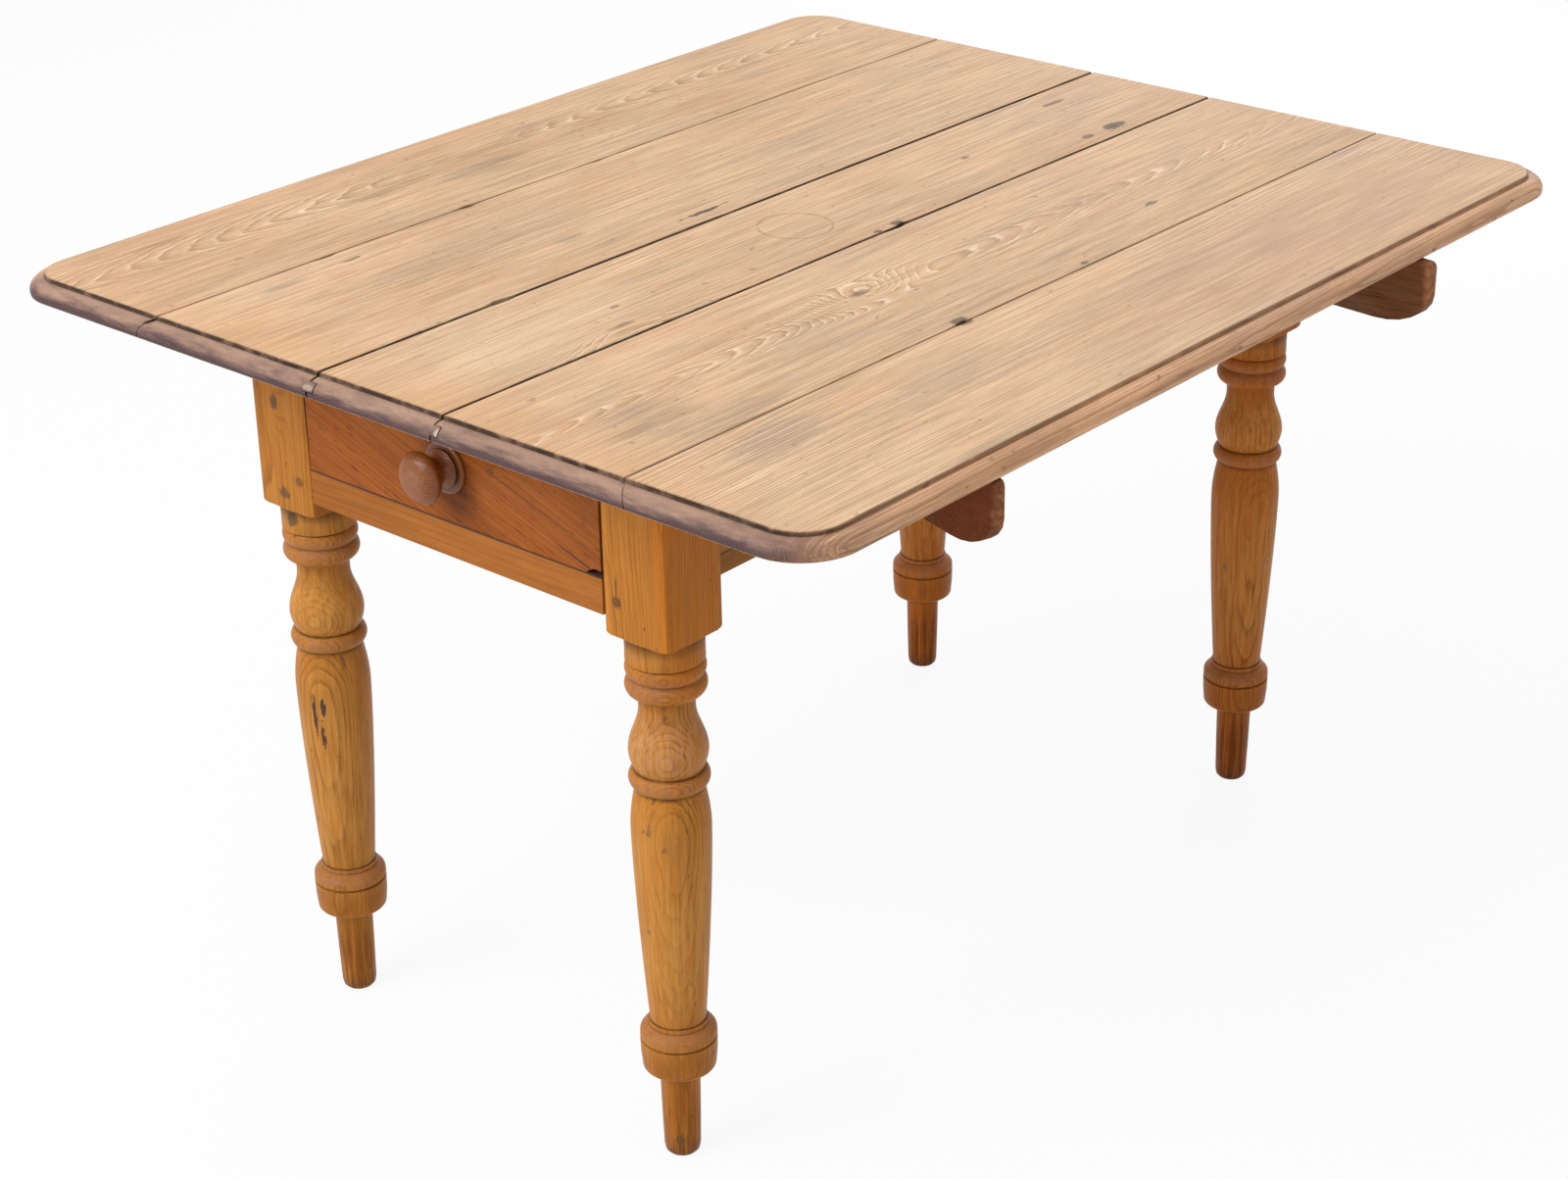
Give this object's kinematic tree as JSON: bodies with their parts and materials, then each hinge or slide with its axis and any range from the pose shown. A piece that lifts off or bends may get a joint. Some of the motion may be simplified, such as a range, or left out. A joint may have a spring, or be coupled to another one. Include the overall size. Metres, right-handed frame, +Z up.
{
  "type": "drop-leaf kitchen table",
  "caption": "Pine drop-leaf kitchen table on turned legs, with rule-jointed leaves held up by swinging wooden brackets and a drawer with a knob in one end.",
  "frame": {"origin": "on the floor, under the middle of the top", "axes": "+Z up, +Y along the boards away from the drawer end, +X across the boards towards the leaf with the open brackets"},
  "size_m": [1.0444, 1.214, 0.765],
  "materials": {
    "scrubbed_pine": "scrubbed and dry, with stains",
    "waxed_pine": "waxed, honey coloured",
    "red_pine": "waxed, red brown",
    "bare_pine": "bare and dusty",
    "dark_bracket": "dark and dry",
    "knob_brown": "dark, worn to a polish",
    "old_iron": "dull and oxidised"
  },
  "bodies": {
    "frame": {"back_rail": "waxed_pine", "bracket_pin_left_back": "old_iron", "bracket_pin_left_front": "old_iron", "bracket_pin_right_back": "old_iron", "bracket_pin_right_front": "old_iron", "drawer_guide_left": "bare_pine", "drawer_guide_right": "bare_pine", "drawer_kicker_left": "bare_pine", "drawer_kicker_right": "bare_pine", "drawer_runner_left": "bare_pine", "drawer_runner_right": "bare_pine", "drawer_stop_left": "bare_pine", "drawer_stop_right": "bare_pine", "fly_rail_left": "waxed_pine", "fly_rail_right": "waxed_pine", "front_lower_rail": "waxed_pine", "front_upper_rail": "bare_pine", "glue_block_left": "bare_pine", "glue_block_right": "bare_pine", "hinge_pin_left_back": "old_iron", "hinge_pin_left_front": "old_iron", "hinge_pin_right_back": "old_iron", "hinge_pin_right_front": "old_iron", "hinge_top_plate_left_back": "old_iron", "hinge_top_plate_left_front": "old_iron", "hinge_top_plate_right_back": "old_iron", "hinge_top_plate_right_front": "old_iron", "leg_back_left": "waxed_pine", "leg_back_right": "waxed_pine", "leg_front_left": "waxed_pine", "leg_front_right": "waxed_pine", "peg_back_left_1": "waxed_pine", "peg_back_left_2": "waxed_pine", "peg_back_right_1": "waxed_pine", "peg_back_right_2": "waxed_pine", "peg_front_left_1": "waxed_pine", "peg_front_right_1": "waxed_pine", "side_rail_left": "waxed_pine", "side_rail_right": "waxed_pine", "top_board_left": "scrubbed_pine", "top_board_middle": "scrubbed_pine", "top_board_right": "scrubbed_pine"},
    "bracket_left_back": {"bracket_left_back": "dark_bracket"},
    "bracket_left_front": {"bracket_left_front": "dark_bracket"},
    "bracket_right_back": {"bracket_right_back": "dark_bracket"},
    "bracket_right_front": {"bracket_right_front": "dark_bracket"},
    "drawer": {"drawer_back": "bare_pine", "drawer_bottom": "bare_pine", "drawer_front": "red_pine", "drawer_knob": "knob_brown", "drawer_side_left": "bare_pine", "drawer_side_right": "bare_pine"},
    "leaf_left": {"hinge_leaf_plate_left_back": "old_iron", "hinge_leaf_plate_left_front": "old_iron", "leaf_left": "scrubbed_pine"},
    "leaf_right": {"hinge_leaf_plate_right_back": "old_iron", "hinge_leaf_plate_right_front": "old_iron", "leaf_right": "scrubbed_pine"}
  },
  "joints": [
    {"name": "drawer_slide", "type": "slide", "parent": "frame", "child": "drawer", "axis": [0, -1, 0], "range_m": [0, 0.4]},
    {"name": "leaf_left_hinge", "type": "hinge", "parent": "frame", "child": "leaf_left", "pos_m": [-0.3, 0, 0.7475], "axis": [0, 1, 0], "range_deg": [-90, 0]},
    {"name": "leaf_right_hinge", "type": "hinge", "parent": "frame", "child": "leaf_right", "pos_m": [0.3, 0, 0.7475], "axis": [0, -1, 0], "range_deg": [0, 2.5]},
    {"name": "bracket_right_front_swing", "type": "hinge", "parent": "frame", "child": "bracket_right_front", "pos_m": [0.2578, -0.286, 0.7087], "axis": [0, 0, -1], "range_deg": [-107.5, 2.5]},
    {"name": "bracket_right_back_swing", "type": "hinge", "parent": "frame", "child": "bracket_right_back", "pos_m": [0.2578, 0.343, 0.7087], "axis": [0, 0, 1], "range_deg": [-85.2, 24.8]},
    {"name": "bracket_left_back_swing", "type": "hinge", "parent": "frame", "child": "bracket_left_back", "pos_m": [-0.2578, 0.286, 0.7087], "axis": [0, 0, -1], "range_deg": [0, 110]},
    {"name": "bracket_left_front_swing", "type": "hinge", "parent": "frame", "child": "bracket_left_front", "pos_m": [-0.2578, -0.343, 0.7087], "axis": [0, 0, 1], "range_deg": [0, 110]}
  ]
}
